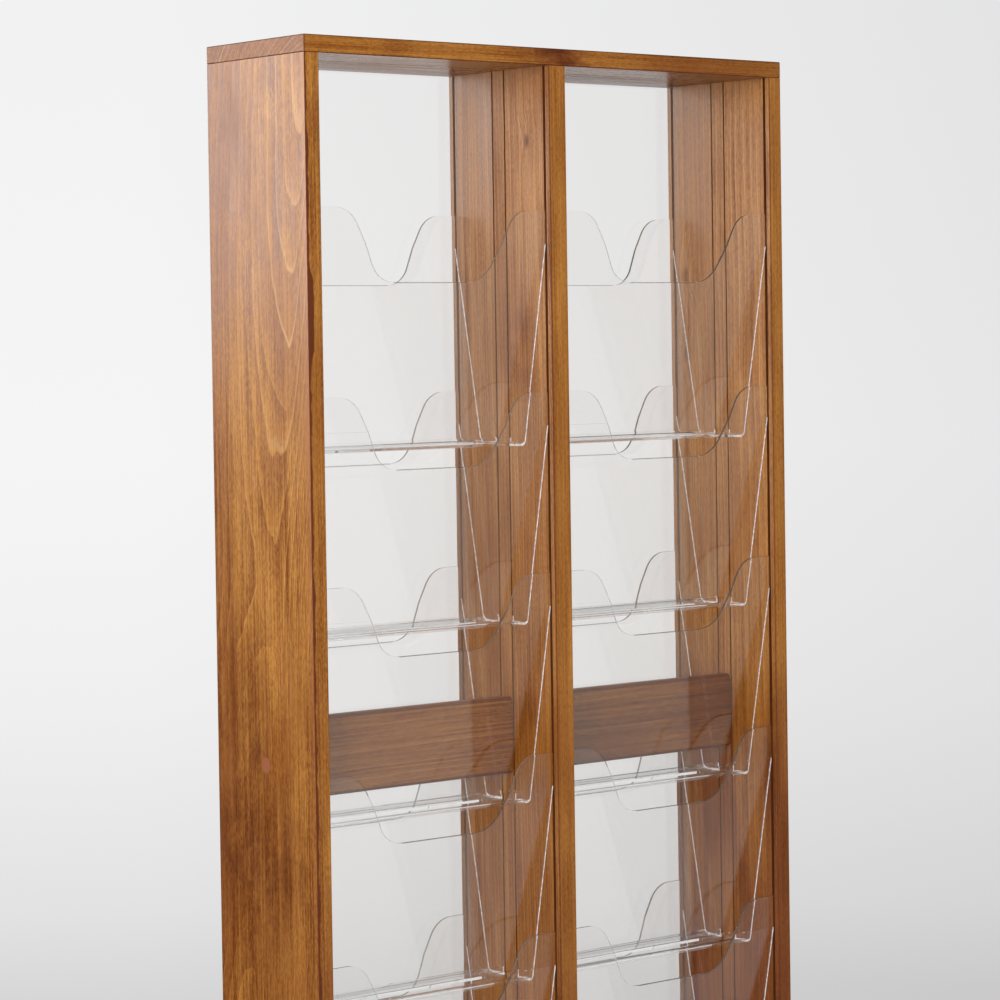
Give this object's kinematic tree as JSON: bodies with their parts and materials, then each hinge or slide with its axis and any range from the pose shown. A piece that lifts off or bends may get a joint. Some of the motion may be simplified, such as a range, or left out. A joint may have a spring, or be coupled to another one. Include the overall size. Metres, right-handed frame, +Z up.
{
  "type": "periodical display rack",
  "caption": "Free-standing double-sided magazine rack: hardwood frame with clear scooped acrylic pockets nested in two columns on front and rear.",
  "frame": {"origin": "on the floor, under the centre of the rack's footprint", "axes": "+X to the right along the width, +Y to the rear, +Z up"},
  "size_m": [0.5166, 0.33, 1.192],
  "materials": {
    "stained_hardwood": "brown stain under satin varnish",
    "unstained_hardwood": "bare planed wood",
    "hardwood_plug": "brown stain under satin varnish",
    "clear_acrylic_pocket": "clear, polished",
    "clear_acrylic_sheet": "clear, polished",
    "zinc_plated_steel": "bright zinc",
    "nylon": "brown, matt"
  },
  "bodies": {
    "root": {"top_board": "stained_hardwood", "bottom_board": "stained_hardwood", "centre_divider": "stained_hardwood", "left_side_panel": "stained_hardwood", "left_mid_rail": "stained_hardwood", "left_foot": "stained_hardwood", "back_sheet_front_left": "clear_acrylic_sheet", "pocket_front_left_1": "clear_acrylic_pocket", "pocket_front_left_2": "clear_acrylic_pocket", "pocket_front_left_3": "clear_acrylic_pocket", "pocket_front_left_4": "clear_acrylic_pocket", "pocket_front_left_5": "clear_acrylic_pocket", "pocket_front_left_6": "clear_acrylic_pocket", "back_sheet_rear_left": "clear_acrylic_sheet", "pocket_rear_left_1": "clear_acrylic_pocket", "pocket_rear_left_2": "clear_acrylic_pocket", "pocket_rear_left_3": "clear_acrylic_pocket", "pocket_rear_left_4": "clear_acrylic_pocket", "pocket_rear_left_5": "clear_acrylic_pocket", "pocket_rear_left_6": "clear_acrylic_pocket", "right_side_panel": "stained_hardwood", "right_mid_rail": "stained_hardwood", "right_foot": "stained_hardwood", "back_sheet_front_right": "clear_acrylic_sheet", "pocket_front_right_1": "clear_acrylic_pocket", "pocket_front_right_2": "clear_acrylic_pocket", "pocket_front_right_3": "clear_acrylic_pocket", "pocket_front_right_4": "clear_acrylic_pocket", "pocket_front_right_5": "clear_acrylic_pocket", "pocket_front_right_6": "clear_acrylic_pocket", "back_sheet_rear_right": "clear_acrylic_sheet", "pocket_rear_right_1": "clear_acrylic_pocket", "pocket_rear_right_2": "clear_acrylic_pocket", "pocket_rear_right_3": "clear_acrylic_pocket", "pocket_rear_right_4": "clear_acrylic_pocket", "pocket_rear_right_5": "clear_acrylic_pocket", "pocket_rear_right_6": "clear_acrylic_pocket", "top_tenons": "unstained_hardwood", "bottom_tenons": "unstained_hardwood", "foot_tenons": "unstained_hardwood", "rail_tenon": "unstained_hardwood", "rail_screws": "zinc_plated_steel", "rail_plugs": "hardwood_plug", "foot_screws": "zinc_plated_steel", "foot_glides": "nylon"}
  },
  "joints": []
}
